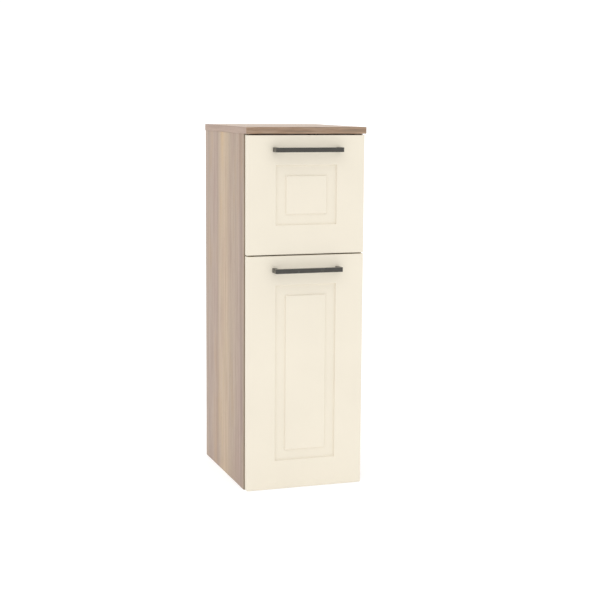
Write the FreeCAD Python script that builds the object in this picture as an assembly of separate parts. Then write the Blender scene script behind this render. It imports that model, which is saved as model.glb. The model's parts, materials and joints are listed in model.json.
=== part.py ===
import FreeCAD, Part
import os

Vec = FreeCAD.Vector

# A narrow highboard: an oak-decor carcass with one drawer over one hinged door.
# Millimetres, +Z up, fronts facing -Y, origin below the middle of the whole box.

# Carcass panels
carcass_width = 300.0
side_height = 866.0
panel = 16.0
top_thickness = 16.0
top_overhang = 1.5
top_front_lip = 1.0
top_round = 1.0
band_round = 0.8

# Back panel in its grooves
back_thickness = 3.0
back_inset = 20.0
groove_depth = 5.0
groove_play = 0.2

# Fronts with their routed frame and raised field
front_thickness = 19.0
front_gap = 2.0
front_inset = 2.5
reveal = 3.0
door_bottom_gap = 1.5
split_height = 577.0
front_round = 2.0
frame_border = 71.0
field_band = 25.5
router_depth = 4.2
field_rise = 0.8
arris_round = 1.5
cove_round = 1.8

# Bow handles
handle_spacing = 160.0
handle_leg = 10.0
handle_bar = 10.0
handle_height = 11.0
handle_projection = 30.0
handle_drop = 34.0
handle_bend = 4.0
handle_round = 1.2
handle_screw_radius = 2.0
handle_screw_grip = 9.0

# Adjustable shelf and its pins
shelf_height = 290.0
shelf_setback = 20.0
shelf_side_play = 1.0
shelf_back_play = 5.0
pin_radius = 2.5
pin_depth = 8.0
pin_reach = 9.0
pin_collar_radius = 4.0
pin_collar = 1.2
system_row = 37.0
system_pitch = 32.0
pin_row_steps = 7

# Panel connectors: cam housings, bolts and dowels
connector_front = 60.0
connector_back = 90.0
cam_radius = 7.5
cam_depth = 12.5
cam_distance = 24.0
cam_slot = 2.0
cam_slot_length = 9.0
bolt_radius = 3.0
bolt_depth = 11.0
bolt_head_radius = 3.4
bolt_head = 5.0
dowel_radius = 4.0
dowel_length = 30.0
dowel_depth = 10.0
dowel_offset = 32.0

# Drawer box: its length, a nominal runner length, and the room behind it set the carcass depth
drawer_depth = 300.0
drawer_back_room = 34.0
drawer_handle_room = 54.0
drawer_board = 12.0
drawer_board_round = 1.5
drawer_bottom = 3.0
drawer_bottom_lift = 10.0
box_screw_radius = 2.5
box_screw_length = 38.0
box_screw_shares = (0.25, 0.75)
front_screw_shares = (0.2, 0.8)
front_screw_inset = 29.5
front_screw_bite = 12.0
front_screw_radius = 2.0

# Roller runners
runner_space = 12.5
runner_lift = 25.0
runner_gap = 0.8
runner_lip = 4.0
runner_sheet = 1.2
runner_setback = 2.0
runner_window_play = 7.0
drawer_member_drop = 6.0
drawer_member_lift = 0.6
rail_wall_gap = 2.0
roller_top_play = 0.8
front_roller_radius = 11.0
rear_roller_radius = 11.4
roller_width = 5.0
roller_edge = 1.0
roller_end = 14.0
axle_radius = 2.5
axle_head_radius = 4.0
axle_head = 0.5
front_roller_stand = 3.4
rear_roller_stand = 3.6
runner_screw_radius = 1.75
runner_screw_length = 12.0
drawer_runner_screw_length = 10.5
runner_screw_head = 1.2
runner_screw_ends = 45.0

# Concealed hinges on the right-hand side, drawn in plan.
# Arm points are (inwards from the side panel, back from the carcass front).
# Cup points are (inwards from the cup's centre, depth below the door's back face).
hinge_end = 95.0
cup_radius = 17.5
cup_edge = 22.5
cup_depth = 12.2
cup_wall = 1.0
cup_flange = 1.0
cup_flange_rim = 1.5
cup_screw_spread = 48.0
cup_screw_offset = 6.0
cup_screw_radius = 1.75
cup_screw_length = 12.0
cup_ear_radius = 7.0
cup_window_play = 0.6
arm_pivot = (25.3, 13.9)
guide_pivot = (31.0, 2.4)
cup_pivot = (-10.4, 0.6)
guide_pin = (-6.3, 2.45)
guide_eye_lag = (-0.2, 1.0)
hinge_pin_radius = 1.0
link_eye = 1.9
link_sheet = 1.6
link_split = 1.9
link_gap = 0.6
link_side_play = 0.4
guide_eye_play = 1.2
guide_eye_wall = 0.8
arm_half_width = 8.8
arm_sheet = 1.6
arm_nose = 2.6
arm_web = 1.5
arm_front = 28.0
plate_base = 2.0
plate_rail = 8.0
plate_rail_play = 0.2
plate_start = 26.0
plate_end = 58.0
plate_wing_radius = 8.0
plate_screw_radius = 2.5
plate_screw_length = 12.0
arm_screw_radius = 2.0
arm_screw_length = 8.0
arm_screw_v = 46.0

# Wall hangers
hanger_width = 14.0
hanger_depth = 42.0
hanger_height = 56.0
hanger_top_gap = 4.0
hanger_peg_radius = 5.0
hanger_peg = 10.0
hook_sheet = 3.0
hook_bar = 16.0
hook_claw = 12.0
hook_claw_sheet = 4.0
hook_wall_gap = 5.0
hook_drop = 40.0
hook_reach = 31.5
hook_window_margin = 2.0
hanger_round = 2.0
plate_sheet = 2.0
wall_plate_width = 34.0
wall_plate_side_gap = 2.0
wall_plate_height = 70.0
wall_plate_shelf = 13.0
wall_lip_height = 18.0
wall_hole_radius = 3.5
wall_hole_pitch = 32.0
wall_hole_low = 12.0
adjuster_radius = 3.0
adjuster_length = 24.0
adjuster_edge = 8.0

# Small pads and screw heads
bumper_radius = 4.0
bumper_play = 0.3
bumper_end = 40.0
bumper_top_radius = 2.4
head_ratio = 1.9
head_top_ratio = 0.6
head_height = 2.4
recess_share = 0.85
recess_arm_ratio = 0.42
recess_taper = 0.45
recess_depth_ratio = 0.65

# Clearances, and how far a cutter stands out of what it cuts
fit_play = 0.05
running_play = 0.05
panel_play = 0.2
overcut = 1.0

# Planes and places worked out from the sizes above
inner_x = carcass_width / 2 - panel
carcass_depth = drawer_depth + drawer_back_room + back_thickness + back_inset - front_gap
overall_depth = handle_projection + front_thickness + front_gap + carcass_depth
back_y = overall_depth / 2
carcass_front_y = back_y - carcass_depth
front_back_y = carcass_front_y - front_gap
front_face_y = front_back_y - front_thickness
back_panel_rear = back_y - back_inset
back_panel_front = back_panel_rear - back_thickness
front_half_width = carcass_width / 2 - front_inset
door_low = door_bottom_gap
door_high = split_height - reveal / 2
drawer_front_low = split_height + reveal / 2
drawer_front_high = side_height - reveal
divider_low = split_height - panel / 2
divider_high = split_height + panel / 2
connector_ys = (carcass_front_y + connector_front, back_y - connector_back)
dowel_ys = (connector_ys[0] + dowel_offset, connector_ys[1] - dowel_offset)
runner_z = divider_high + runner_lift
runner_height = 2 * (rear_roller_radius + runner_sheet) + roller_top_play
runner_flange = runner_space - runner_sheet - runner_gap
runner_front_y = carcass_front_y + runner_setback
box_half_width = inner_x - runner_space
box_inner_x = box_half_width - drawer_board
box_low = runner_z - drawer_member_drop + runner_sheet
box_high = drawer_front_high - handle_drop - drawer_handle_room
box_back_y = front_back_y + drawer_depth
hinge_heights = (door_low + hinge_end, door_high - hinge_end)
pin_ys = (carcass_front_y + system_row, carcass_front_y + system_row + pin_row_steps * system_pitch)
right, left = 1, -1
along_x, along_y, along_z = Vec(1, 0, 0), Vec(0, 1, 0), Vec(0, 0, 1)


# Basic forms
def block(x_span, y_span, z_span):
    size = [span[1] - span[0] for span in (x_span, y_span, z_span)]
    return Part.makeBox(*size, Vec(x_span[0], y_span[0], z_span[0]))


def span_from_wall(hand, near, far):
    """An X span given as distances from the inner face of the side panel."""
    return tuple(sorted((hand * (inner_x - near), hand * (inner_x - far))))


def rod(start, direction, radius, length):
    return Part.makeCylinder(radius, length, start, direction)


def outline_solid(points, push):
    face = Part.Face(Part.makePolygon(points + points[:1]))
    return face.extrude(push)


def turned(profile, start, direction):
    """A solid of revolution from (radius, distance) points, standing on start along direction."""
    points = [Vec(radius, 0, distance) for radius, distance in profile]
    solid = Part.Face(Part.makePolygon(points + points[:1])).revolve(Vec(), along_z, 360)
    solid.Placement = FreeCAD.Placement(start, FreeCAD.Rotation(along_z, direction))
    return solid


def round_bar(first, last, radius, push):
    """A flat bar with round ends between two points, pushed up from their plane."""
    along = (last - first).normalize()
    side = push.cross(along).normalize() * radius
    cap = along * radius
    edges = [
        Part.LineSegment(first + side, last + side).toShape(),
        Part.Arc(last + side, last + cap, last - side).toShape(),
        Part.LineSegment(last - side, first - side).toShape(),
        Part.Arc(first - side, first - cap, first + side).toShape(),
    ]
    return Part.Face(Part.Wire(edges)).extrude(push)


def sheet_outline(path, thickness):
    """Corners of a sheet bent at right angles: the path, and the path moved to its right."""
    normals = []
    for (a0, b0), (a1, b1) in zip(path, path[1:]):
        length = abs(a1 - a0) + abs(b1 - b0)
        normals.append(((b1 - b0) / length, (a0 - a1) / length))
    moved = []
    for index, (a, b) in enumerate(path):
        near = normals[max(index - 1, 0):index + 1]
        shift = [thickness * sum(side[axis] for side in near) for axis in (0, 1)]
        moved.append((a + shift[0], b + shift[1]))
    return path + moved[::-1]


def fillet(shape, radius, chosen):
    return shape.makeFillet(radius, [edge for edge in shape.Edges if chosen(edge)])


def lies_at(edge, axis, value):
    return all(abs(getattr(vertex.Point, axis) - value) < 1e-4 for vertex in edge.Vertexes)


def runs_along(edge, axis):
    ends = [vertex.Point for vertex in edge.Vertexes]
    return len(ends) == 2 and abs((ends[1] - ends[0]).normalize().dot(axis)) > 0.999


def bent_sheet(path, thickness, place, push):
    """A sheet bent along a path in its section's plane and pushed out of it, rounded outside each bend."""
    outline = sheet_outline(path, thickness)
    solid = outline_solid([place(*point) for point in outline], push)
    bends = []
    for index in range(1, len(path) - 1):
        (a0, b0), (a1, b1), (a2, b2) = path[index - 1:index + 2]
        turns_right = (a1 - a0) * (b2 - b1) < (b1 - b0) * (a2 - a1)
        bends.append(place(*outline[index if turns_right else -1 - index]))
    axis = Vec(push).normalize()
    return fillet(solid, thickness, lambda edge: runs_along(edge, axis) and any(
        vertex.Point.isEqual(bend, 1e-4) for vertex in edge.Vertexes for bend in bends))


def banded(board, front_y, axis):
    """A board whose front edge carries a glued band with rounded arrises."""
    return fillet(board, band_round, lambda edge: lies_at(edge, "y", front_y) and runs_along(edge, axis))


def cross_recess(centre, direction, face_radius, depth):
    """The hollow for a cross-head screwdriver, tapering down from the middle of a round face."""
    reach = face_radius * recess_share
    half_arm = reach * recess_arm_ratio / 2
    arms = block((-reach, reach), (-half_arm, half_arm), (0, depth)).fuse(
        block((-half_arm, half_arm), (-reach, reach), (0, depth)))
    recess = arms.common(Part.makeCone(reach, reach * recess_taper, depth))
    recess.Placement = FreeCAD.Placement(centre, FreeCAD.Rotation(along_z, direction))
    return recess


def screw(seat, direction, radius, length, head=head_height):
    """A pointed cross-head screw: its head stands on seat, its shank goes along direction."""
    head_radius = radius * head_ratio
    top_radius = head_radius * head_top_ratio
    profile = [(0, -head), (top_radius, -head), (head_radius, 0), (radius, 0),
               (radius, length - radius), (0, length)]
    recess = cross_recess(seat - direction * head, direction, top_radius, head * recess_depth_ratio)
    return turned(profile, seat, direction).cut(recess)


def screw_hole(seat, direction, radius, length):
    return rod(seat - direction * overcut, direction, radius + fit_play, length + overcut + fit_play)


def place_all(maker, *choices):
    """A list of maker(...) for every combination of the given choices."""
    combos = [()]
    for choice in choices:
        combos = [combo + (item,) for combo in combos for item in choice]
    return [maker(*combo) for combo in combos]


pieces = {}


def add(name, shape):
    pieces[name] = shape


def add_group(name, solids):
    pieces[name] = Part.makeCompound(solids)


# Panel connectors: bolts and dowels lie in the sides and reach into the level panels
level_joints = (panel / 2, split_height)
hands = (left, right)
sides = ((left, "left"), (right, "right"))
play = (fit_play,)


def connector_bolt(joint, direction, extra):
    """A bolt through a joint: its foot before the joint's plane, its head in the middle of a cam."""
    radius, head_radius = bolt_radius + extra, bolt_head_radius + extra
    neck, end = cam_distance - bolt_head, cam_distance
    profile = [(0, -bolt_depth - extra), (radius, -bolt_depth - extra), (radius, neck), (head_radius, neck),
               (head_radius, end), (0, end)]
    return turned(profile, joint, direction)


def level_bolt(z, hand, y, extra=0.0):
    return connector_bolt(Vec(hand * inner_x, y, z), along_x * -hand, extra)


def upright_bolt(hand, y, extra=0.0):
    return connector_bolt(Vec(hand * (inner_x + panel / 2), y, side_height), along_z * -1, extra)


def cam(centre_face, direction, bolt, extra=0.0):
    """A cam housing sunk from its open face, with a screwdriver slot and the room for its bolt."""
    body = rod(centre_face, direction, cam_radius + extra, cam_depth + extra)
    if extra:
        return body
    reach = along_y * (cam_slot_length / 2)
    slot = round_bar(centre_face - reach, centre_face + reach, cam_slot / 2, direction * cam_slot)
    return body.cut([slot, bolt])


def level_cam(z, hand, y, extra=0.0):
    face = Vec(hand * (inner_x - cam_distance), y, z - panel / 2)
    return cam(face, along_z, level_bolt(z, hand, y, fit_play), extra)


def upright_cam(hand, y, extra=0.0):
    face = Vec(hand * inner_x, y, side_height - cam_distance)
    return cam(face, along_x * hand, upright_bolt(hand, y, fit_play), extra)


def level_dowel(z, hand, y, extra=0.0):
    start = Vec(hand * (inner_x + dowel_depth + extra), y, z)
    return rod(start, along_x * -hand, dowel_radius + extra, dowel_length + 2 * extra)


def upright_dowel(hand, y, extra=0.0):
    start = Vec(hand * (inner_x + panel / 2), y, side_height + dowel_depth + extra)
    return rod(start, along_z * -1, dowel_radius + extra, dowel_length + 2 * extra)


add_group("cam_housings", place_all(level_cam, level_joints, hands, connector_ys)
          + place_all(upright_cam, hands, connector_ys))
add_group("cam_bolts", place_all(level_bolt, level_joints, hands, connector_ys)
          + place_all(upright_bolt, hands, connector_ys))
add_group("dowels", place_all(level_dowel, level_joints, hands, dowel_ys)
          + place_all(upright_dowel, hands, dowel_ys))


def level_connector_holes(z):
    return (place_all(level_bolt, (z,), hands, connector_ys, play)
            + place_all(level_cam, (z,), hands, connector_ys, play)
            + place_all(level_dowel, (z,), hands, dowel_ys, play))


# Adjustable shelf on its pins
shelf_low = shelf_height - panel / 2


def shelf_pin(hand, y, z):
    profile = [
        (0, 0), (pin_radius, 0), (pin_radius, pin_depth), (pin_collar_radius, pin_depth),
        (pin_collar_radius, pin_depth + pin_collar), (pin_radius, pin_depth + pin_collar),
        (pin_radius, pin_depth + pin_reach), (0, pin_depth + pin_reach),
    ]
    return turned(profile, Vec(hand * (inner_x + pin_depth), y, z), along_x * -hand)


def pin_hole(hand, y, step):
    z = shelf_low - pin_radius + step * system_pitch
    return rod(Vec(hand * inner_x, y, z), along_x * hand, pin_radius + fit_play, pin_depth + fit_play)


add_group("shelf_pins", place_all(shelf_pin, hands, pin_ys, (shelf_low - pin_radius,)))
shelf_front_y = carcass_front_y + shelf_setback
shelf = block((-inner_x + shelf_side_play, inner_x - shelf_side_play),
              (shelf_front_y, back_panel_front - shelf_back_play), (shelf_low, shelf_low + panel))
add("adjustable_shelf", banded(shelf, shelf_front_y, along_x).cut(
    [rod(Vec(hand * inner_x, y, shelf_low - pin_radius), along_x * -hand,
         pin_collar_radius + panel_play, pin_collar + panel_play) for hand in hands for y in pin_ys]))


# Hangers: a housing in each upper back corner, its hook, and the wall plate that the hook hangs on
hanger_high = side_height - hanger_top_gap
hanger_low = hanger_high - hanger_height
hook_seat_z = side_height - hook_drop
wall_plate_low = hook_seat_z - wall_lip_height - wall_plate_height
peg_y = back_panel_front - hanger_depth / 2
peg_heights = (hanger_low + hanger_height / 4, hanger_high - hanger_height / 4)


def hook_outline(extra=0.0):
    claw_rear = back_y - hook_wall_gap + extra
    claw_front = back_y - hook_wall_gap - hook_claw_sheet - extra
    bar_start = back_panel_front - hook_reach - extra
    low, high = hook_seat_z - extra, hook_seat_z + hook_bar + extra
    claw_low = low - hook_claw
    return [(bar_start, low), (bar_start, high), (claw_rear, high), (claw_rear, claw_low),
            (claw_front, claw_low), (claw_front, low)]


def hook(hand, extra=0.0):
    middle = hanger_width / 2
    span = span_from_wall(hand, middle + hook_sheet / 2 + extra, middle - hook_sheet / 2 - extra)
    points = [Vec(span[0], y, z) for y, z in hook_outline(extra)]
    return outline_solid(points, along_x * (span[1] - span[0]))


def adjuster(hand, z, extra=0.0):
    start = Vec(hand * (inner_x - hanger_width / 2), back_panel_front - hanger_depth, z)
    body = rod(start, along_y, adjuster_radius + extra, adjuster_length + extra)
    if extra:
        return body
    return body.cut(cross_recess(start, along_y, adjuster_radius, adjuster_radius))


adjuster_heights = (hanger_low + adjuster_edge, hanger_high - adjuster_edge)


def hanger_peg_rod(hand, z, extra=0.0):
    return rod(Vec(hand * inner_x, peg_y, z), along_x * hand, hanger_peg_radius + extra, hanger_peg + extra)


def hanger_housing(hand):
    body = block(span_from_wall(hand, 0, hanger_width),
                 (back_panel_front - hanger_depth, back_panel_front), (hanger_low, hanger_high))
    body = fillet(body, hanger_round, lambda edge: lies_at(edge, "x", hand * (inner_x - hanger_width)))
    holes = [hook(hand, fit_play)] + [adjuster(hand, z, fit_play) for z in adjuster_heights]
    return body.fuse([hanger_peg_rod(hand, z) for z in peg_heights]).removeSplitter().cut(holes)


def wall_plate(hand):
    front_y = back_y - plate_sheet
    lip_y = back_y - wall_plate_shelf
    shelf_z = wall_plate_low + wall_plate_height
    lip_z = hook_seat_z - running_play
    path = [(front_y, wall_plate_low), (front_y, shelf_z), (lip_y, shelf_z), (lip_y, lip_z)]
    span = span_from_wall(hand, wall_plate_side_gap, wall_plate_side_gap + wall_plate_width)
    plate = bent_sheet(path, plate_sheet, lambda y, z: Vec(span[0], y, z), along_x * (span[1] - span[0]))
    first_z = wall_plate_low + wall_hole_low
    holes = [rod(Vec(sum(span) / 2, front_y, z), along_y, wall_hole_radius, plate_sheet)
             for z in (first_z, first_z + wall_hole_pitch)]
    return plate.cut(holes)


for hand, word in sides:
    add("hanger_housing_" + word, hanger_housing(hand))
    add("hanger_hook_" + word, hook(hand))
    add("wall_plate_" + word, wall_plate(hand))
add_group("hanger_adjusters", place_all(adjuster, hands, adjuster_heights))


# Carcass panels
groove_y = (back_panel_front - groove_play / 2, back_panel_rear + groove_play / 2)
groove_cut = groove_depth + groove_play


def runner_screw_ys(front_y, length):
    return (front_y + runner_screw_ends, front_y + length - runner_screw_ends)


cabinet_screw_ys = runner_screw_ys(runner_front_y, drawer_depth)
runner_middle_z = runner_z + runner_height / 2


def cabinet_runner_screw(hand, y, extra=0.0):
    seat = Vec(hand * (inner_x - runner_sheet), y, runner_middle_z)
    if extra:
        return screw_hole(seat, along_x * hand, runner_screw_radius, runner_screw_length)
    return screw(seat, along_x * hand, runner_screw_radius, runner_screw_length, runner_screw_head)


def plate_screw(height, offset, extra=0.0):
    seat = Vec(inner_x - plate_base, carcass_front_y + system_row, height + offset)
    if extra:
        return screw_hole(seat, along_x, plate_screw_radius, plate_screw_length)
    return screw(seat, along_x, plate_screw_radius, plate_screw_length)


plate_screw_offsets = (-system_pitch / 2, system_pitch / 2)


def side_panel(hand):
    body = block(span_from_wall(hand, -panel, 0), (carcass_front_y, back_y), (0, side_height))
    groove = block(span_from_wall(hand, -groove_cut, 0), groove_y, (0, side_height))
    holes = place_all(level_bolt, level_joints, (hand,), connector_ys, play)
    holes += place_all(level_dowel, level_joints, (hand,), dowel_ys, play)
    holes += place_all(upright_bolt, (hand,), connector_ys, play)
    holes += place_all(upright_cam, (hand,), connector_ys, play)
    holes += place_all(upright_dowel, (hand,), dowel_ys, play)
    holes += place_all(pin_hole, (hand,), pin_ys, (-1, 0, 1))
    holes += place_all(cabinet_runner_screw, (hand,), cabinet_screw_ys, play)
    holes += place_all(hanger_peg_rod, (hand,), peg_heights, play)
    if hand == right:
        holes += place_all(plate_screw, hinge_heights, plate_screw_offsets, play)
    return banded(body, carcass_front_y, along_z).cut([groove] + holes)


top = block((-carcass_width / 2 - top_overhang, carcass_width / 2 + top_overhang),
            (front_face_y - top_front_lip, back_y), (side_height, side_height + top_thickness))
top = top.makeFillet(top_round, top.Edges)
top_groove_x = inner_x + groove_cut
top_groove = block((-top_groove_x, top_groove_x), groove_y, (side_height, side_height + groove_cut))
add("top_panel", top.cut([top_groove] + place_all(upright_bolt, hands, connector_ys, play)
                         + place_all(upright_dowel, hands, dowel_ys, play)))

bottom = block((-inner_x, inner_x), (carcass_front_y, back_y), (0, panel))
bottom_groove = block((-inner_x, inner_x), groove_y, (panel - groove_cut, panel))
add("bottom_panel", banded(bottom, carcass_front_y, along_x).cut(
    [bottom_groove] + level_connector_holes(panel / 2)))

divider_y = (carcass_front_y, back_panel_front - panel_play)
divider = block((-inner_x, inner_x), divider_y, (divider_low, divider_high))
add("divider_shelf", banded(divider, carcass_front_y, along_x).cut(level_connector_holes(split_height)))

back_panel_y = (back_panel_front, back_panel_rear)
back = block((-inner_x - groove_depth, inner_x + groove_depth), back_panel_y,
             (panel - groove_depth, side_height + groove_depth))
window_z = (hook_seat_z - hook_claw - hook_window_margin, hook_seat_z + hook_bar + hook_window_margin)
hook_windows = [block(span_from_wall(hand, -groove_depth, hanger_width), back_panel_y, window_z)
                for hand in hands]
add("back_panel", back.cut(hook_windows))
for hand, word in sides:
    add("side_panel_" + word, side_panel(hand))


# Fronts: a groove routed all round leaves a flat frame and a raised field
def router_profile(start, inwards):
    """The cutter's section at start: rounded arrises, coved corners and a floor that rises inwards."""
    def place(across, depth):
        return start + inwards * across + along_y * depth

    def quarter_round(before, corner, after):
        first, last = place(*before), place(*after)
        centre = first + last - place(*corner)
        middle = centre + (place(*corner) - centre) * 0.5 ** 0.5
        return Part.Arc(first, middle, last).toShape()

    def line(before, after):
        return Part.LineSegment(place(*before), place(*after)).toShape()

    floor, foot, band = router_depth, router_depth - field_rise, field_band
    arris, cove, air = arris_round, cove_round, -overcut
    return Part.Wire([
        line((-arris, air), (-arris, 0)), quarter_round((-arris, 0), (0, 0), (0, arris)),
        line((0, arris), (0, floor - cove)), quarter_round((0, floor - cove), (0, floor), (cove, floor)),
        line((cove, floor), (band - cove, foot)),
        quarter_round((band - cove, foot), (band, foot), (band, foot - cove)),
        line((band, foot - cove), (band, arris)), quarter_round((band, arris), (band, 0), (band + arris, 0)),
        line((band + arris, 0), (band + arris, air)), line((band + arris, air), (-arris, air)),
    ])


def router_run(first, last):
    """The cutter's section pushed from one corner of the frame to the next and mitred at both."""
    length = (last - first).Length
    along = (last - first).normalize()
    inwards = along.cross(along_y)
    near, far = -arris_round, field_band + arris_round
    run = Part.Face(router_profile(first + along * near, inwards)).extrude(along * (length - 2 * near))
    mitre = [first + along * reach + inwards * across - along_y * overcut for reach, across in
             ((near, near), (length - near, near), (length - far, far), (far, far))]
    return run.common(outline_solid(mitre, along_y * (overcut + router_depth)))


def routed_groove(z_low, z_high):
    """Four runs of the cutter round the field."""
    half = front_half_width - frame_border
    low, high = z_low + frame_border, z_high - frame_border
    corners = [Vec(x, front_face_y, z) for x, z in ((-half, low), (half, low), (half, high), (-half, high))]
    return [router_run(first, last) for first, last in zip(corners, corners[1:] + corners[:1])]


def handle_screw_seat(x, z_high):
    return Vec(x, front_back_y, z_high - handle_drop)


handle_xs = (-handle_spacing / 2, handle_spacing / 2)
handle_screw_length = front_thickness + handle_screw_grip


def front_panel(z_low, z_high):
    slab = block((-front_half_width, front_half_width), (front_face_y, front_back_y), (z_low, z_high))
    slab = fillet(slab, front_round, lambda edge: lies_at(edge, "y", front_face_y))
    holes = [screw_hole(handle_screw_seat(x, z_high), along_y * -1, handle_screw_radius, handle_screw_length)
             for x in handle_xs]
    return slab.cut(routed_groove(z_low, z_high) + holes)


def handle(z_high):
    """A bow handle of square bar, open behind for the fingers."""
    half_length = (handle_spacing + handle_leg) / 2
    z = z_high - handle_drop
    z_span = (z - handle_height / 2, z + handle_height / 2)
    bar_y = front_face_y - handle_projection
    bow = block((-half_length, half_length), (bar_y, front_face_y), z_span)
    bow = fillet(bow, handle_bend, lambda edge: lies_at(edge, "y", bar_y) and runs_along(edge, along_z))
    gap_half = half_length - handle_leg
    bow = bow.cut(block((-gap_half, gap_half), (bar_y + handle_bar, front_face_y), z_span))
    bow = fillet(bow, handle_round, lambda edge: any(lies_at(edge, "z", level) for level in z_span)
                 and not lies_at(edge, "y", front_face_y))
    holes = [screw_hole(handle_screw_seat(x, z_high), along_y * -1, handle_screw_radius, handle_screw_length)
             for x in handle_xs]
    return bow.cut(holes)


def handle_screws(z_high):
    return [screw(handle_screw_seat(x, z_high), along_y * -1, handle_screw_radius, handle_screw_length)
            for x in handle_xs]


def bumper(x, z):
    bumper_thickness = front_gap - bumper_play
    profile = [(0, 0), (bumper_radius, 0), (bumper_top_radius, bumper_thickness), (0, bumper_thickness)]
    return turned(profile, Vec(x, front_back_y, z), along_y)


bumper_x = inner_x + panel / 2
add("door_handle", handle(door_high))
add("drawer_handle", handle(drawer_front_high))
add_group("door_handle_screws", handle_screws(door_high))
add_group("drawer_handle_screws", handle_screws(drawer_front_high))
add_group("door_bumpers", [bumper(-bumper_x, z) for z in (door_low + bumper_end, door_high - bumper_end)])
add_group("drawer_bumpers", [bumper(x, drawer_front_high - bumper_end) for x in (-bumper_x, bumper_x)])


# Drawer box
box_y = (front_back_y, box_back_y)
box_z = (box_low, box_high)
box_bottom_z = (box_low + drawer_bottom_lift, box_low + drawer_bottom_lift + drawer_bottom)
inner_front_y = front_back_y + drawer_board
inner_back_y = box_back_y - drawer_board
bottom_board = block((-box_inner_x - groove_depth, box_inner_x + groove_depth),
                     (inner_front_y - groove_depth, inner_back_y + groove_depth), box_bottom_z)
board_groove = block((-box_inner_x - groove_cut, box_inner_x + groove_cut),
                     (inner_front_y - groove_cut, inner_back_y + groove_cut),
                     (box_bottom_z[0] - groove_play / 2, box_bottom_z[1] + groove_play / 2))


def box_screw(hand, y, z, extra=0.0):
    seat = Vec(hand * (box_half_width - head_height - fit_play), y, z)
    if extra:
        head = rod(seat, along_x * hand, box_screw_radius * head_ratio + extra, head_height + overcut)
        return head.fuse(screw_hole(seat, along_x * -hand, box_screw_radius, box_screw_length))
    return screw(seat, along_x * -hand, box_screw_radius, box_screw_length)


def front_screw(x, z, extra=0.0):
    seat = Vec(x, inner_front_y, z)
    length = drawer_board + front_screw_bite
    if extra:
        return screw_hole(seat, along_y * -1, front_screw_radius, length)
    return screw(seat, along_y * -1, front_screw_radius, length)


def drawer_runner_screw(hand, y, extra=0.0):
    seat = Vec(hand * (box_half_width + runner_sheet), y, runner_middle_z)
    if extra:
        return screw_hole(seat, along_x * -hand, runner_screw_radius, drawer_runner_screw_length)
    return screw(seat, along_x * -hand, runner_screw_radius, drawer_runner_screw_length, runner_screw_head)


front_screw_xs = (front_screw_inset - box_inner_x, box_inner_x - front_screw_inset)
front_screw_zs = [box_low + share * (box_high - box_low) for share in front_screw_shares]
box_screw_ys = (front_back_y + drawer_board / 2, box_back_y - drawer_board / 2)
box_screw_zs = [box_low + share * (box_high - box_low) for share in box_screw_shares]
member_front_y = front_back_y + runner_setback
drawer_screw_ys = runner_screw_ys(member_front_y, drawer_depth - runner_setback)
box_holes = place_all(box_screw, hands, box_screw_ys, box_screw_zs, play)
front_holes = place_all(front_screw, front_screw_xs, front_screw_zs, play)


def box_board(x_span, y_span, axis):
    """A drawer board whose top edge is rounded along its length."""
    return fillet(block(x_span, y_span, box_z), drawer_board_round,
                  lambda edge: lies_at(edge, "z", box_high) and runs_along(edge, axis))


for hand, word in sides:
    board = box_board(span_from_wall(hand, runner_space, runner_space + drawer_board), box_y, along_y)
    runner_holes = place_all(drawer_runner_screw, (hand,), drawer_screw_ys, play)
    add("drawer_side_" + word, board.cut([board_groove] + box_holes + runner_holes))
cross_x = (-box_inner_x, box_inner_x)
add("drawer_inner_front", box_board(cross_x, (front_back_y, inner_front_y), along_x).cut(
    [board_groove] + box_holes + front_holes))
add("drawer_back", box_board(cross_x, (inner_back_y, box_back_y), along_x).cut([board_groove] + box_holes))
add("drawer_bottom", bottom_board)
add("drawer_front", front_panel(drawer_front_low, drawer_front_high).cut(front_holes))
add_group("drawer_box_screws", place_all(box_screw, hands, box_screw_ys, box_screw_zs))
add_group("drawer_front_screws", place_all(front_screw, front_screw_xs, front_screw_zs))
add_group("cabinet_runner_screws", place_all(cabinet_runner_screw, hands, cabinet_screw_ys))
add_group("drawer_runner_screws", place_all(drawer_runner_screw, hands, drawer_screw_ys))


# Roller runners: a channel on each side panel, a rail under each drawer side, a roller at each end
front_roller_y = runner_front_y + roller_end
rear_roller_y = box_back_y - roller_end
rail_z = runner_z + runner_height + drawer_member_lift
front_roller_z = rail_z - running_play - front_roller_radius
rear_roller_z = runner_z + runner_sheet + running_play + rear_roller_radius


def channel_solid(hand, path, y_span):
    return bent_sheet(path, runner_sheet, lambda near, z: Vec(hand * (inner_x - near), y_span[0], z),
                      along_y * (y_span[1] - y_span[0]))


def cabinet_runner(hand):
    low, high = runner_z, runner_z + runner_height
    path = [(runner_flange, low + runner_lip), (runner_flange, low), (0, low),
            (0, high), (runner_flange, high), (runner_flange, high - runner_lip)]
    channel = channel_solid(hand, path, (runner_front_y, runner_front_y + drawer_depth))
    window_end = front_roller_y + front_roller_radius + runner_window_play
    window = block(span_from_wall(hand, runner_sheet + axle_head, runner_flange),
                   (runner_front_y, window_end), (high - runner_lip, high))
    holes = place_all(cabinet_runner_screw, (hand,), cabinet_screw_ys, play)
    return channel.cut([window, front_axle(hand, fit_play)] + holes)


def drawer_runner(hand):
    low = runner_z - drawer_member_drop
    web = runner_space - runner_sheet
    path = [(runner_space + drawer_board, low), (web, low), (web, rail_z), (rail_wall_gap, rail_z)]
    rail = channel_solid(hand, path, (member_front_y, box_back_y))
    holes = place_all(drawer_runner_screw, (hand,), drawer_screw_ys, play)
    return rail.cut([rear_axle(hand, fit_play)] + holes)


def axle(start, direction, length, extra):
    radius = axle_radius + extra
    if extra:
        return rod(start, direction, radius, length)
    profile = [(0, 0), (radius, 0), (radius, length), (axle_head_radius, length),
               (axle_head_radius, length + axle_head), (0, length + axle_head)]
    return turned(profile, start, direction)


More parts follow.
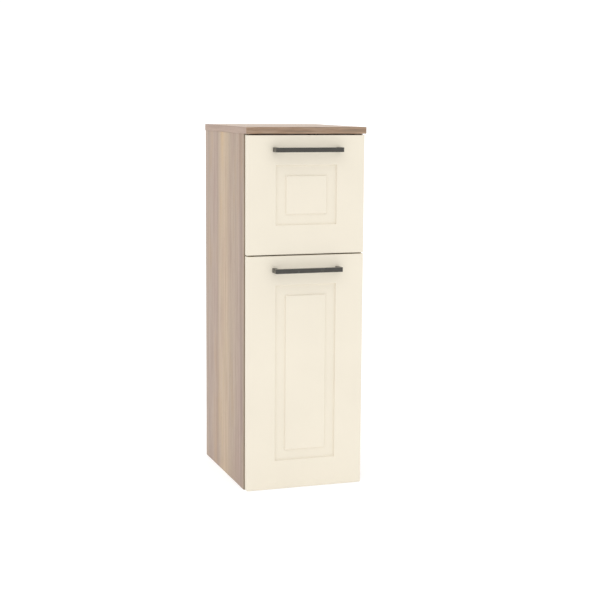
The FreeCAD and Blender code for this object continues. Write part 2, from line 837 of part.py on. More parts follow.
def front_axle(hand, extra=0.0):
    start = Vec(hand * inner_x, front_roller_y, front_roller_z)
    return axle(start, along_x * -hand, front_roller_stand + roller_width + running_play, extra)


def rear_axle(hand, extra=0.0):
    start = Vec(hand * box_half_width, rear_roller_y, rear_roller_z)
    return axle(start, along_x * hand, rear_roller_stand + roller_width + running_play, extra)


def roller(start, direction, radius):
    inner = axle_radius + running_play
    side_radius = radius - roller_edge
    profile = [(inner, 0), (side_radius, 0), (radius, roller_edge), (radius, roller_width - roller_edge),
               (side_radius, roller_width), (inner, roller_width)]
    return turned(profile, start, direction)


for hand, word in sides:
    add("cabinet_runner_" + word, cabinet_runner(hand))
    add("drawer_runner_" + word, drawer_runner(hand))
    front_start = Vec(hand * (inner_x - front_roller_stand), front_roller_y, front_roller_z)
    rear_start = Vec(hand * (box_half_width + rear_roller_stand), rear_roller_y, rear_roller_z)
    add("front_roller_" + word, roller(front_start, along_x * -hand, front_roller_radius))
    add("rear_roller_" + word, roller(rear_start, along_x * hand, rear_roller_radius))
add_group("front_roller_axles", [front_axle(hand) for hand in hands])
add_group("rear_roller_axles", [rear_axle(hand) for hand in hands])


# Concealed hinges: plate and arm on the side panel, cup in the door, two links between them
cup_x = front_half_width - cup_edge
cup_inner_radius = cup_radius - cup_wall


def arm_point(place, z=0.0):
    return Vec(inner_x - place[0], carcass_front_y + place[1], z)


def cup_point(place, z=0.0):
    return Vec(cup_x - place[0], front_back_y - place[1], z)


guide_eye = (guide_pin[0] + guide_eye_lag[0], guide_pin[1] + guide_eye_lag[1])
guide_eye_hole = hinge_pin_radius + guide_eye_play
link_half = arm_half_width - arm_sheet - link_side_play
outer_link_z = (-link_half, link_split - link_gap / 2)
guide_link_z = (link_split + link_gap / 2, link_half)
cup_window = link_half + cup_window_play


def upright_pin(point, z_span, extra=0.0):
    return rod(point + along_z * z_span[0], along_z, hinge_pin_radius + extra, z_span[1] - z_span[0])


def pin_reach_in_cup(place):
    """How far a pin at this place reaches up or down before it comes out of the round cup wall."""
    farthest = abs(place[0]) + hinge_pin_radius + fit_play
    return ((cup_radius - 2 * fit_play) ** 2 - farthest ** 2) ** 0.5


def arm_pin(place, height, extra=0.0):
    return upright_pin(arm_point(place), (height - arm_half_width, height + arm_half_width), extra)


def cup_pins(height, extra=0.0):
    """Two stub pins, riveted in the lower and the upper wall of the cup."""
    low = height - pin_reach_in_cup(cup_pivot)
    high = height + pin_reach_in_cup(guide_pin)
    return [upright_pin(cup_point(cup_pivot), (low, height + link_split), extra),
            upright_pin(cup_point(guide_pin), (height + link_split, high), extra)]


def link(first, last, z_span, height, first_hole, last_hole, last_eye):
    """A stamped strip with an eye at each end."""
    base = along_z * (height + z_span[0])
    push = along_z * (z_span[1] - z_span[0])
    first, last = first + base, last + base
    strip = round_bar(first, last, link_sheet / 2, push)
    eyes = [rod(first, along_z, link_eye, push.Length), rod(last, along_z, last_eye, push.Length)]
    holes = [rod(first, along_z, first_hole, push.Length), rod(last, along_z, last_hole, push.Length)]
    return strip.fuse(eyes).removeSplitter().cut(holes)


def outer_link(height):
    hole = hinge_pin_radius + running_play
    return link(arm_point(arm_pivot), cup_point(cup_pivot), outer_link_z, height, hole, hole, link_eye)


def guide_link(height):
    hole = hinge_pin_radius + running_play
    return link(arm_point(guide_pivot), cup_point(guide_eye), guide_link_z, height, hole, guide_eye_hole,
                guide_eye_hole + guide_eye_wall)


arm_back_height = plate_rail + arm_web - plate_base - plate_rail_play
arm_back_u = plate_rail + arm_web - arm_back_height / 2


def arm_screw(height, extra=0.0):
    seat = arm_point((plate_rail + arm_web, arm_screw_v), height)
    if extra:
        return screw_hole(seat, along_x, arm_screw_radius, arm_screw_length)
    return screw(seat, along_x, arm_screw_radius, arm_screw_length)


def hinge_arm(height):
    base, push = height - arm_half_width, along_z * (2 * arm_half_width)
    back_start = arm_point((arm_back_u, arm_front + arm_back_height / 2), base)
    back_end = arm_point((arm_back_u, plate_end - arm_back_height / 2), base)
    nose, tip = arm_point(arm_pivot, base), arm_point(guide_pivot, base)
    body = round_bar(back_start, back_end, arm_back_height / 2, push)
    body = body.fuse([round_bar(back_start, nose, arm_nose, push), round_bar(nose, tip, arm_nose, push)])
    inside = (height - arm_half_width + arm_sheet, height + arm_half_width - arm_sheet)
    wide = (carcass_front_y - panel, carcass_front_y + carcass_depth)
    under_web = block((inner_x - plate_rail, inner_x), wide, inside)
    between_cheeks = block((0, inner_x), (wide[0], carcass_front_y + arm_front), inside)
    holes = place_all(arm_pin, (arm_pivot, guide_pivot), (height,), play) + [arm_screw(height, fit_play)]
    return body.removeSplitter().cut([under_web, between_cheeks] + holes)


def hinge_plate(height):
    rail_half = arm_half_width - arm_sheet - plate_rail_play
    rail = block((inner_x - plate_rail, inner_x),
                 (carcass_front_y + plate_start, carcass_front_y + plate_end),
                 (height - rail_half, height + rail_half))
    wing_y = carcass_front_y + system_row
    wing_ends = [Vec(inner_x, wing_y, height + offset) for offset in plate_screw_offsets]
    wing = round_bar(*wing_ends, plate_wing_radius, along_x * -plate_base)
    holes = place_all(plate_screw, (height,), plate_screw_offsets, play) + [arm_screw(height, fit_play)]
    return rail.fuse(wing).removeSplitter().cut(holes)


def cup_screw(height, offset, extra=0.0):
    seat = Vec(cup_x - cup_screw_offset, front_back_y + cup_flange, height + offset)
    if extra:
        return screw_hole(seat, along_y * -1, cup_screw_radius, cup_screw_length)
    return screw(seat, along_y * -1, cup_screw_radius, cup_screw_length)


cup_screw_offsets = (-cup_screw_spread / 2, cup_screw_spread / 2)


def hinge_cup(height):
    """A round cup with a flange and two ears, open towards the door's edge for the swung-out link."""
    centre = Vec(cup_x, front_back_y, height)
    outer = cup_radius - fit_play
    profile = [(outer, 0), (outer, cup_depth), (0, cup_depth), (0, cup_depth - cup_wall),
               (cup_inner_radius, cup_depth - cup_wall), (cup_inner_radius, 0)]
    wall = turned(profile, centre, along_y * -1)
    flange = rod(centre, along_y, cup_radius + cup_flange_rim, cup_flange)
    ear_ends = [Vec(cup_x - cup_screw_offset, front_back_y, height + offset) for offset in cup_screw_offsets]
    ears = round_bar(*ear_ends, cup_ear_radius, along_y * cup_flange)
    mouth = rod(centre, along_y, cup_inner_radius, cup_flange)
    window = block((cup_x, cup_x + cup_radius + cup_flange_rim), (front_back_y, front_back_y + cup_flange),
                   (height - cup_window, height + cup_window))
    rim = flange.fuse(ears).removeSplitter().cut([mouth, window])
    holes = cup_pins(height, fit_play) + place_all(cup_screw, (height,), cup_screw_offsets, play)
    return wall.fuse(rim).removeSplitter().cut(holes)


def cup_bore(height):
    return rod(Vec(cup_x, front_back_y, height), along_y * -1, cup_radius, cup_depth + fit_play)


door_holes = [cup_bore(height) for height in hinge_heights]
door_holes += place_all(cup_screw, hinge_heights, cup_screw_offsets, play)
add("door_panel", front_panel(door_low, door_high).cut(door_holes))
for height, word in zip(hinge_heights, ("lower", "upper")):
    add("hinge_plate_" + word, hinge_plate(height))
    add("hinge_arm_" + word, hinge_arm(height))
    add("hinge_cup_" + word, hinge_cup(height))
    add("hinge_outer_link_" + word, outer_link(height))
    add("hinge_guide_link_" + word, guide_link(height))
add_group("hinge_arm_pins", place_all(arm_pin, (arm_pivot, guide_pivot), hinge_heights))
add_group("hinge_cup_pins", [pin for height in hinge_heights for pin in cup_pins(height)])
add_group("hinge_plate_screws", place_all(plate_screw, hinge_heights, plate_screw_offsets))
add_group("hinge_arm_screws", [arm_screw(height) for height in hinge_heights])
add_group("hinge_cup_screws", place_all(cup_screw, hinge_heights, cup_screw_offsets))


os.makedirs("parts", exist_ok=True)
for name, shape in pieces.items():
    shape.exportStep("parts/" + name + ".step")
print(len(pieces), "pieces written")
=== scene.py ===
# %% [markdown]
# A narrow highboard: an oak-decor carcass with a routed cream drawer front above a routed cream door.
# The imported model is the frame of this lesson. Its pieces already have their true shapes and places, so the
# lesson gives them finishes, one real material at a time, and sets up the photograph.

# %% Load the frame
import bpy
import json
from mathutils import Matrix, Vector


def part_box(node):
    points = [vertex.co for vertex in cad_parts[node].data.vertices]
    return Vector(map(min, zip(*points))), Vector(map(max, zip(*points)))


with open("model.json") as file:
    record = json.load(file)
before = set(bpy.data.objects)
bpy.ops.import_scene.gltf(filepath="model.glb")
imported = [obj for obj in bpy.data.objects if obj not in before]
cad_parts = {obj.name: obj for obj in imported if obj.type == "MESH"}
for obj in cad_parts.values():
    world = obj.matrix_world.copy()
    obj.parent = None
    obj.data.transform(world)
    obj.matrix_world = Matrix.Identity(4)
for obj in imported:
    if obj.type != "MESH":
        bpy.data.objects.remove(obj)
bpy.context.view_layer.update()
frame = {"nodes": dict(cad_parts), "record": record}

import json
import math
import bpy
import bmesh
from mathutils import Matrix, Vector

nodes = frame["nodes"]
scene = bpy.context.scene
print("pieces in the frame:", len(nodes))

# %% [markdown]
# The camera stands to the left of the cupboard, a little above its top, about three and a half metres away.
# It could be placed by eye, but edges measured on the photograph give its turn, tilt and lens, so the three
# turns are written down here and made into the camera's axes.

# %% Camera
camera_place = Vector((-1.0619, -3.2749, 0.9482))
turn = math.radians(18.654)
tilt = math.radians(-8.357)
roll = math.radians(0.397)
lens_mm = 82.17
sensor_mm = 36

forward = Vector((math.sin(turn) * math.cos(tilt), math.cos(turn) * math.cos(tilt), math.sin(tilt)))
level = Vector((math.cos(turn), -math.sin(turn), 0))
upward = level.cross(forward)
right = level * math.cos(roll) + upward * math.sin(roll)
above = upward * math.cos(roll) - level * math.sin(roll)
camera_axes = Matrix((right, above, -forward)).transposed().to_4x4()

lens = bpy.data.cameras.new("photo_camera")
lens.lens = lens_mm
lens.sensor_width = sensor_mm
camera = bpy.data.objects.new("photo_camera", lens)
camera.matrix_world = Matrix.Translation(camera_place) @ camera_axes
scene.collection.objects.link(camera)
scene.camera = camera
print("camera at", [round(value, 3) for value in camera_place], "with a", lens_mm, "mm lens")

# %% [markdown]
# Colours are written as sRGB hex values, the way a paint chart gives them, and one function turns them into
# the linear values that Blender mixes. A second small function adds a node with its settings and links, so a
# material reads as a list of what feeds what. A third one starts a material with the values that are the same
# all over its surface.

# %% Colours and nodes
def linear(hex_colour):
    # The curve and its constants are those of the sRGB standard.
    channels = [int(hex_colour[place:place + 2], 16) / 255 for place in (1, 3, 5)]
    return [c / 12.92 if c <= 0.04045 else ((c + 0.055) / 1.055) ** 2.4 for c in channels] + [1.0]


def add_node(tree, kind, inputs=None, stops=(), **settings):
    node = tree.nodes.new(kind)
    for name, value in settings.items():
        setattr(node, name, value)
    for number, (place, hex_colour) in enumerate(stops):
        # A new colour ramp has two stops already, so only further ones are added.
        elements = node.color_ramp.elements
        element = elements[number] if number < 2 else elements.new(place)
        element.position = place
        element.color = linear(hex_colour)
    for socket, value in (inputs or {}).items():
        if isinstance(value, bpy.types.NodeSocket):
            tree.links.new(value, node.inputs[socket])
        else:
            node.inputs[socket].default_value = value
    return node


def new_material(name, surface):
    material = bpy.data.materials.new(name)
    material.use_nodes = True
    tree = material.node_tree
    shader = tree.nodes["Principled BSDF"]
    for socket, value in surface.items():
        shader.inputs[socket].default_value = value
    coords = add_node(tree, "ShaderNodeTexCoord").outputs["Object"]
    return material, tree, shader, coords


print("mid grey, #808080, in linear values:", round(linear("#808080")[0], 3))

# %% [markdown]
# The photograph is a cut-out on white with almost no shadow, so its light is soft and comes from all round.
# Large lamps could do this. A white world does it in one step, a touch over full white so that the ground
# stays clean. A very wide sun gives a little more from above, because unlike a lamp it doesn't fade with
# distance and so leaves the floor even.

# %% Sky and sun
sky_strength = 1.05
sun_strength = 0.45
sun_spread = math.radians(70)
sun_direction = Vector((0.3, 0.35, -1.0))

sky = bpy.data.worlds.new("studio_white")
sky.use_nodes = True
background = sky.node_tree.nodes["Background"]
background.inputs["Color"].default_value = (1, 1, 1, 1)
background.inputs["Strength"].default_value = sky_strength
scene.world = sky
scene.view_settings.view_transform = "Standard"

sun = bpy.data.lights.new("soft_sun", "SUN")
sun.energy = sun_strength
sun.angle = sun_spread
sun_object = bpy.data.objects.new("soft_sun", sun)
sun_object.rotation_euler = sun_direction.to_track_quat("-Z", "Y").to_euler()
scene.collection.objects.link(sun_object)
print("sky at strength", sky_strength, "and sun at strength", sun_strength)

# %% [markdown]
# Product photographers stand an object for a cut-out on a light table: opal acrylic that glows from below and
# so fills its own shadows. A plain white floor could be used, but it would keep a grey shadow round the
# cupboard's foot. So the floor is a very large plane in pale acrylic that gives a little light of its own.

# %% Light table
floor_half_width = 60
acrylic_glow = 0.42
acrylic_cloud_mm = 333

acrylic, tree, shader, coords = new_material("light_table_acrylic", {
    "Roughness": 0.9, "Emission Color": (1, 1, 1, 1), "Emission Strength": acrylic_glow})
cloud = add_node(tree, "ShaderNodeTexNoise", {"Vector": coords, "Scale": 1000 / acrylic_cloud_mm})
white = add_node(tree, "ShaderNodeValToRGB", {"Fac": cloud.outputs["Fac"]},
                 stops=[(0.3, "#D8D8D8"), (0.7, "#DBDBDB")])
tree.links.new(white.outputs["Color"], shader.inputs["Base Color"])

floor_mesh = bmesh.new()
bmesh.ops.create_grid(floor_mesh, x_segments=1, y_segments=1, size=floor_half_width)
floor_data = bpy.data.meshes.new("studio_floor")
floor_mesh.to_mesh(floor_data)
floor_mesh.free()
floor_data.materials.append(acrylic)
floor = bpy.data.objects.new("studio_floor", floor_data)
scene.collection.objects.link(floor)
print("floor of", 2 * floor_half_width, "m with", acrylic.name)

# %% [markdown]
# The carcass is chipboard with a printed oak paper under melamine. The print shows staves about a hand wide,
# each in its own tone from grey-mauve to straw. It could be an image, but a colour ramp stays sharp from any
# distance. The ramp runs from the front of a panel to its back, and its places are shares of that depth. The
# front edges carry a glued band in a browner tone, the left and right ends a plain one, and the edges that
# face the wall are left as raw chips. The level panels' staves are lighter and greyer than the sides', though
# the paper is the same. That is painted light, the brightness and sheen of a top lit from above, and it lies
# on all four level panels.

# %% Tones of the oak decor
side_staves = [(0.0, "#A29280"), (0.03, "#B29D8B"), (0.07, "#A28D82"), (0.12, "#B29E8E"), (0.36, "#B9A691"),
               (0.44, "#C5B095"), (0.54, "#C7B297"), (0.61, "#BDA994"), (0.65, "#B4A08E"), (0.675, "#AB9688"),
               (0.70, "#B7A292"), (1.0, "#B19F90")]
# Painted light: the level panels' tones are lighter and greyer than the sides', for light and sheen from
# above.
level_staves_with_painted_light = [(0.0, "#C7B4A2"), (0.28, "#D4C4B3"), (0.31, "#C6B4A7"), (0.58, "#CEBCAF"), (0.62, "#D5C5B0"),
                (0.90, "#D0BEAE"), (0.92, "#BAA79B"), (1.0, "#C9B7AC")]
side_band = [(0.35, "#94846F"), (0.65, "#A3937F")]
level_band = [(0.4, "#8E7A65"), (0.5, "#9D8067"), (0.6, "#AB927B")]
end_tone = "#B19A8A"
chip_tones = [(0.2, "#A98A62"), (0.5, "#BFA077"), (0.8, "#CDB28B")]
print("tones across a side:", len(side_staves), "and across a level panel:", len(level_staves_with_painted_light))

# %% [markdown]
# Over the staves lie the marks of the grain: soft clouds, broad streaks, fine lines and short dark pores.
# They could be drawn one by one, but they are the same thing at different sizes. So a loop makes each of them
# from noise that is stretched along the grain, and gives it its tones. The share says how strongly a mark
# tints what lies under it.

# %% Marks of the grain
# Sizes are across and along the grain. Real pores are about 0.3 mm wide; at 0.9 mm they show in close views.
grain_marks = {
    "clouds": {"size_mm": (70.0, 260), "detail": 3.0, "share": 0.9,
               "tones": [(0.3, "#FFF6E4"), (0.5, "#FFFFFF"), (0.7, "#F4EDF0")]},
    "streaks": {"size_mm": (14.0, 700), "detail": 3.0, "share": 0.7,
                "tones": [(0.3, "#DDD8D6"), (0.7, "#FFFFFF")]},
    "lines": {"size_mm": (2.5, 180), "detail": 4.0, "share": 0.45,
              "tones": [(0.32, "#B9AAA2"), (0.6, "#FFFFFF")]},
    "pores": {"size_mm": (0.9, 18), "detail": 2.0, "share": 0.5,
              "tones": [(0.28, "#8A7566"), (0.36, "#FFFFFF")]},
}


def printed_marks(tree, along, marks):
    noise, colour = {}, {}
    for kind, mark in marks.items():
        across_mm, along_mm = mark["size_mm"]
        stretched = add_node(tree, "ShaderNodeMapping", {
            "Vector": along, "Scale": (1000 / across_mm, 1000 / across_mm, 1000 / along_mm)})
        noise[kind] = add_node(tree, "ShaderNodeTexNoise", {
            "Vector": stretched.outputs["Vector"], "Scale": 1.0, "Detail": mark["detail"],
            "Roughness": 0.6}).outputs["Fac"]
        colour[kind] = add_node(tree, "ShaderNodeValToRGB", {"Fac": noise[kind]},
                                stops=mark["tones"]).outputs["Color"]
    return noise, colour


for kind, mark in grain_marks.items():
    print(kind, "of", mark["size_mm"][0], "by", mark["size_mm"][1], "mm")

# %% [markdown]
# The edges of a panel differ from its faces, and its grain has a direction. The panel could be cut into faces
# with a material each, but a mask on position, 1 on an edge and 0 elsewhere, leaves the piece as it is. The
# grain runs upright on the sides and from left to right on the level panels, and along the bands glued on
# their ends. Turning the coordinates, so that Z runs along the grain, serves all three.

# %% Edges and grain of a panel
# How far the masks of a glued band and of a raw edge reach into the panel.
band_mm = 1.0
raw_mm = 0.3
upright_turn = (0, 0, 0)
level_turn = (0, -math.pi / 2, 0)
end_turn = (math.pi / 2, 0, 0)
# Each print is shifted by its panel's own place times these, so that no two panels look the same.
shift_by_x = 3.1
shift_by_z = 2.3
# A Mix node has sockets of the same name for each kind of value, so they are told by number.
mix_share = 0
vector_under, vector_over, vector_mixed = 4, 5, 1
colour_under, colour_over, colour_mixed = 6, 7, 2


def panel_edges(tree, place, low, high, level_grain):
    limits = {"front": ("Y", "LESS_THAN", low.y + band_mm / 1000),
              "back": ("Y", "GREATER_THAN", high.y - raw_mm / 1000)}
    if level_grain:
        limits["left"] = ("X", "LESS_THAN", low.x + band_mm / 1000)
        limits["right"] = ("X", "GREATER_THAN", high.x - band_mm / 1000)
    edges = {}
    for edge, (axis, operation, limit) in limits.items():
        edges[edge] = add_node(tree, "ShaderNodeMath", {0: place[axis], 1: limit},
                               operation=operation).outputs[0]
    if level_grain:
        edges["ends"] = add_node(tree, "ShaderNodeMath", {0: edges["left"], 1: edges["right"]},
                                 operation="ADD").outputs[0]
    return edges


def along_the_grain(tree, coords, low, edges):
    turns = [level_turn, end_turn] if "ends" in edges else [upright_turn]
    turned = [add_node(tree, "ShaderNodeMapping", {
        "Vector": coords, "Rotation": turn,
        "Location": (low.x * shift_by_x, 0, low.z * shift_by_z)}).outputs["Vector"] for turn in turns]
    if "ends" not in edges:
        return turned[0]
    return add_node(tree, "ShaderNodeMix", {
        mix_share: edges["ends"], vector_under: turned[0], vector_over: turned[1]},
        data_type="VECTOR").outputs[vector_mixed]


print("edge bands are", band_mm, "mm thick")

# %% [markdown]
# One panel's decor is built from the paper up: the staves, whose edges waver with the clouds, then the tint
# of the clouds, the bands, the other marks of the grain, and the raw chips last. Each layer could be mixed in
# by hand. A list of layers shows their order at a glance, and a loop lays each over the ones before it. Lines
# and pores are pressed into the melamine too, so they also give the surface a slight relief.

# %% Oak decor of one panel
# The edges of the staves wander within this share of the panel's depth.
stave_waver = 0.09
chip_mm = 1.6
relief_mm = 0.2


def oak_panel(name, level_grain):
    low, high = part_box(name)
    material, tree, shader, coords = new_material("oak_decor_" + name, {"Roughness": 0.55})
    place = add_node(tree, "ShaderNodeSeparateXYZ", {"Vector": coords}).outputs
    edges = panel_edges(tree, place, low, high, level_grain)
    along = along_the_grain(tree, coords, low, edges)
    band = {"size_mm": (6.0, 90), "detail": 2.0, "tones": level_band if level_grain else side_band}
    noise, colour = printed_marks(tree, along, {**grain_marks, "band": band})
    chips = add_node(tree, "ShaderNodeTexVoronoi", {"Vector": coords, "Scale": 1000 / chip_mm})
    raw_board = add_node(tree, "ShaderNodeValToRGB", {"Fac": chips.outputs["Color"]}, stops=chip_tones)

    across = add_node(tree, "ShaderNodeMapRange", {
        "Value": place["Y"], "From Min": low.y, "From Max": high.y}).outputs["Result"]
    waver = add_node(tree, "ShaderNodeMath", {0: noise["clouds"], 1: stave_waver, 2: -stave_waver / 2},
                     operation="MULTIPLY_ADD").outputs[0]
    wavering = add_node(tree, "ShaderNodeMath", {0: across, 1: waver}, operation="ADD").outputs[0]
    tone = add_node(tree, "ShaderNodeValToRGB", {"Fac": wavering},
                    stops=level_staves_with_painted_light if level_grain else side_staves).outputs["Color"]

    tints = {kind: (colour[kind], mark["share"], "MULTIPLY") for kind, mark in grain_marks.items()}
    layers = [tints["clouds"], (colour["band"], edges["front"], "MIX")]
    if level_grain:
        layers.append((linear(end_tone), edges["ends"], "MIX"))
    layers += [tints["streaks"], tints["lines"], tints["pores"]]
    layers.append((raw_board.outputs["Color"], edges["back"], "MIX"))
    for over, share, blend in layers:
        tone = add_node(tree, "ShaderNodeMix", {mix_share: share, colour_under: tone, colour_over: over},
                        data_type="RGBA", blend_type=blend).outputs[colour_mixed]
    tree.links.new(tone, shader.inputs["Base Color"])

    pressed = add_node(tree, "ShaderNodeMath", {0: colour["pores"], 1: colour["lines"]}, operation="ADD")
    bump = add_node(tree, "ShaderNodeBump", {
        "Height": pressed.outputs[0], "Strength": 0.25, "Distance": relief_mm / 1000})
    tree.links.new(bump.outputs["Normal"], shader.inputs["Normal"])
    return material


print("chips of", chip_mm, "mm and a relief of", relief_mm, "mm")

# %% [markdown]
# Six panels carry the decor: two sides with upright grain, and the top, bottom, divider and shelf with level
# grain. They could share one material, but then bands and staves would fall at the same places on panels of
# different depth. So each panel has a material of its own, fitted to its own box.

# %% Dress the oak panels
upright_panels = ("side_panel_left", "side_panel_right")
level_panels = ("top_panel", "bottom_panel", "divider_shelf", "adjustable_shelf")


def dress(name, material):
    mesh = nodes[name].data
    mesh.materials.clear()
    mesh.materials.append(material)


for name in upright_panels + level_panels:
    dress(name, oak_panel(name, level_grain=name in level_panels))
print("oak decor on", len(upright_panels + level_panels), "panels")

# %% [markdown]
# Most other finishes are one tone that wanders a little, under a skin with a fine relief: pressed foil,
# powder coat, enamel, nylon, plated steel. Each could be its own list of nodes. One function with the tones,
# the size of the relief in millimetres and its strength says the same more briefly. A second one puts a
# finish on every piece that the part's record gives to a material slot.

# %% One skin for the plain finishes
gloss_wander = 0.05


def skin(name, tones, tone_mm, grain_mm, strength, surface):
    material, tree, shader, coords = new_material(name, surface)
    cloud = add_node(tree, "ShaderNodeTexNoise", {
        "Vector": coords, "Scale": 1000 / tone_mm, "Detail": 3.0}).outputs["Fac"]
    tone = add_node(tree, "ShaderNodeValToRGB", {"Fac": cloud}, stops=[(0.3, tones[0]), (0.7, tones[1])])
    tree.links.new(tone.outputs["Color"], shader.inputs["Base Color"])
    grain = add_node(tree, "ShaderNodeTexNoise", {"Vector": coords, "Scale": 1000 / grain_mm, "Detail": 2.0})
    bump = add_node(tree, "ShaderNodeBump", {
        "Height": grain.outputs["Fac"], "Strength": strength, "Distance": relief_mm / 1000})
    tree.links.new(bump.outputs["Normal"], shader.inputs["Normal"])
    gloss = add_node(tree, "ShaderNodeMapRange", {
        "Value": cloud, "To Min": surface["Roughness"] - gloss_wander,
        "To Max": surface["Roughness"] + gloss_wander})
    tree.links.new(gloss.outputs["Result"], shader.inputs["Roughness"])
    return material


def dress_slot(slot, material):
    names = [piece["node"] for piece in frame["record"]["subparts"] if piece["material_slot"] == slot]
    for name in names:
        dress(name, material)
    print(material.name, "on", len(names), "pieces")


print("gloss wanders by", gloss_wander, "to either side")

# %% [markdown]
# The fronts are fibreboard with matt PVC foil, which a press draws down into the routed groove: cream, with a
# fine pressed grain that takes the gloss away. The bow handles are zinc castings with a powder coat, a dark
# satin skin with a slight ripple. Both could be flat colours, but the relief breaks up their highlights.

# %% Fronts and handles
# The foil's real grain is about 0.3 mm; at 1.2 mm it still shows in close views.
dress_slot("cream_front", skin("cream_matt_foil", ("#E0D8C7", "#E3DBCA"), tone_mm=160, grain_mm=1.2,
                               strength=0.06, surface={"Roughness": 0.5}))
dress_slot("anthracite", skin("anthracite_powder_coat", ("#33312C", "#3A3833"), tone_mm=20, grain_mm=1.0,
                              strength=0.08, surface={"Roughness": 0.26}))

# %% [markdown]
# The runners are rolled steel strip in baked epoxy: creamy white, smooth and a little glossy. The hinges are
# stamped steel with nickel, which is warm and bright. Screws, pins, hooks and wall plates carry passivated
# zinc, cooler and duller. The cam housings are zinc as it comes out of the die, grey and slightly rough. The
# metals could share one grey, but their tones tell them apart where they meet.

# %% Runners and metal fittings
# The grain of plated and cast metal is finer than 0.1 mm; at about 0.5 mm it shows in close views.
dress_slot("runner_coat", skin("runner_epoxy_enamel", ("#E6E2D7", "#E9E6DC"), tone_mm=60, grain_mm=2.0,
                               strength=0.05, surface={"Roughness": 0.32}))
dress_slot("nickel", skin("nickel_plate", ("#C9C3B9", "#D2CDC4"), tone_mm=12, grain_mm=0.6,
                          strength=0.05, surface={"Roughness": 0.34, "Metallic": 1.0}))
dress_slot("zinc", skin("zinc_plate", ("#B2B7BC", "#C4C5C1"), tone_mm=6, grain_mm=0.5,
                        strength=0.06, surface={"Roughness": 0.36, "Metallic": 1.0}))
dress_slot("die_cast", skin("zinc_die_casting", ("#9FA1A3", "#AFB0B0"), tone_mm=5, grain_mm=0.6,
                            strength=0.12, surface={"Roughness": 0.48, "Metallic": 1.0}))

# %% [markdown]
# The rollers are turned nylon, milky white with a waxy gloss. The hanger housings are moulded ABS with a
# spark-eroded grain. The pads are milky polyurethane, and light goes a little way into them and scatters,
# which a subsurface weight gives. The drawer's boards are thin chipboard under pale grey-white melamine with
# a faint pressed texture. All could be one white, but their gloss differs.

# %% Plastics and drawer boards
dress_slot("nylon", skin("white_nylon", ("#E6E4DC", "#EBE9E2"), tone_mm=15, grain_mm=0.8,
                         strength=0.04, surface={"Roughness": 0.34}))
dress_slot("hanger_plastic", skin("white_moulded_abs", ("#E0DDD4", "#E5E2DA"), tone_mm=30, grain_mm=0.7,
                                  strength=0.1, surface={"Roughness": 0.42}))
dress_slot("bumper", skin("milky_polyurethane", ("#E2DED3", "#E8E5DC"), tone_mm=5, grain_mm=0.6,
                          strength=0.05, surface={
                              "Roughness": 0.3, "Subsurface Weight": 0.4, "Subsurface Scale": 0.002}))
dress_slot("drawer_board", skin("pale_melamine_board", ("#DEDBD2", "#E2DFD7"), tone_mm=90, grain_mm=1.5,
                                strength=0.08, surface={"Roughness": 0.46}))

# %% [markdown]
# Hardboard is pressed wood fibre. Its good side is lacquered smooth and pale, and its other side keeps the
# print of the wire screen that it was pressed on. The back panel and the drawer bottom are cut from it, good
# side inwards. Each side could have its own material, but one with a mask on position covers both, because
# the sheet is one piece.

# %% Hardboard
# The screen's wires are about 1.6 mm apart. At 5 mm their print still shows in the render, helped by painted
# shade: the brown is darkened along the same pattern as the relief.
screen_mm = 5.0
screen_relief_mm = 0.3
fibre_mm = 4.0
# A wave texture at scale 1 repeats after this length.
wave_length = 2 * math.pi / 20
# Painted shade: the darker brown laid along the screen's relief.
screen_shade_tone = "#70533A"


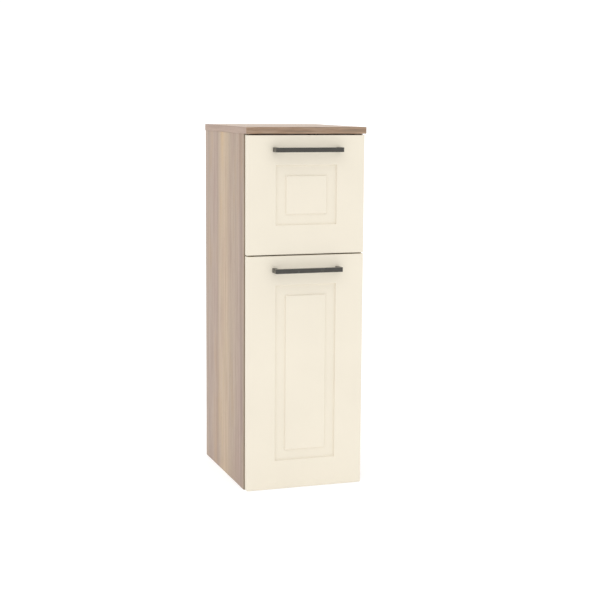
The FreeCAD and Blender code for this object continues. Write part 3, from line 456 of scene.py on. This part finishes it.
def hardboard(name, axis, good_side_low):
    low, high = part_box(name)
    middle = (low[axis] + high[axis]) / 2
    material, tree, shader, coords = new_material("hardboard_" + name, {"Roughness": 0.6})
    place = add_node(tree, "ShaderNodeSeparateXYZ", {"Vector": coords})
    raw = add_node(tree, "ShaderNodeMath", {0: place.outputs[axis], 1: middle},
                   operation="GREATER_THAN" if good_side_low else "LESS_THAN").outputs[0]
    fibre = add_node(tree, "ShaderNodeTexNoise", {
        "Vector": coords, "Scale": 1000 / fibre_mm, "Detail": 4.0}).outputs["Fac"]
    lacquer = add_node(tree, "ShaderNodeValToRGB", {"Fac": fibre}, stops=[(0.3, "#DAD5CA"), (0.7, "#DFDBD1")])
    brown = add_node(tree, "ShaderNodeValToRGB", {"Fac": fibre}, stops=[(0.3, "#7A5B3F"), (0.7, "#94724F")])
    screen_scale = wave_length * 1000 / screen_mm
    wires = []
    for direction in "XYZ".replace("XYZ"[axis], ""):
        wires.append(add_node(tree, "ShaderNodeTexWave", {"Vector": coords, "Scale": screen_scale},
                              bands_direction=direction).outputs["Fac"])
    dimples = add_node(tree, "ShaderNodeMath", {0: wires[0], 1: wires[1]}, operation="MULTIPLY").outputs[0]
    # Painted shade: the raw side's brown darkens where the screen's relief lies.
    brown_with_painted_shade = add_node(tree, "ShaderNodeMix", {
        mix_share: dimples, colour_under: brown.outputs["Color"], colour_over: linear(screen_shade_tone)},
        data_type="RGBA").outputs[colour_mixed]
    tone = add_node(tree, "ShaderNodeMix", {
        mix_share: raw, colour_under: lacquer.outputs["Color"], colour_over: brown_with_painted_shade},
        data_type="RGBA").outputs[colour_mixed]
    tree.links.new(tone, shader.inputs["Base Color"])
    relief = add_node(tree, "ShaderNodeMath", {0: dimples, 1: raw}, operation="MULTIPLY").outputs[0]
    bump = add_node(tree, "ShaderNodeBump", {
        "Height": relief, "Strength": 0.4, "Distance": screen_relief_mm / 1000})
    tree.links.new(bump.outputs["Normal"], shader.inputs["Normal"])
    return material


dress("back_panel", hardboard("back_panel", 1, good_side_low=True))
dress("drawer_bottom", hardboard("drawer_bottom", 2, good_side_low=False))
print("hardboard on the back panel and the drawer bottom")

# %% [markdown]
# The dowels are turned beech, which is pale and pinkish with short dark rays along its grain. Noise stretched
# along each dowel could draw the rays, but the dowels lie in two directions and hardly show. So the rays are
# small flecks that suit any direction.

# %% Beech
ray_mm = 1.5

beech, tree, shader, coords = new_material("turned_beech", {"Roughness": 0.6})
rays = add_node(tree, "ShaderNodeTexNoise", {
    "Vector": coords, "Scale": 1000 / ray_mm, "Detail": 3.0}).outputs["Fac"]
wood = add_node(tree, "ShaderNodeValToRGB", {"Fac": rays},
                stops=[(0.35, "#A97B52"), (0.5, "#CDA27A"), (0.7, "#D8B18A")])
tree.links.new(wood.outputs["Color"], shader.inputs["Base Color"])
bump = add_node(tree, "ShaderNodeBump", {"Height": rays, "Strength": 0.2, "Distance": relief_mm / 1000})
tree.links.new(bump.outputs["Normal"], shader.inputs["Normal"])
dress_slot("beech", beech)
bare = [name for name, piece in nodes.items() if not piece.data.materials]
print("pieces without a finish:", bare)
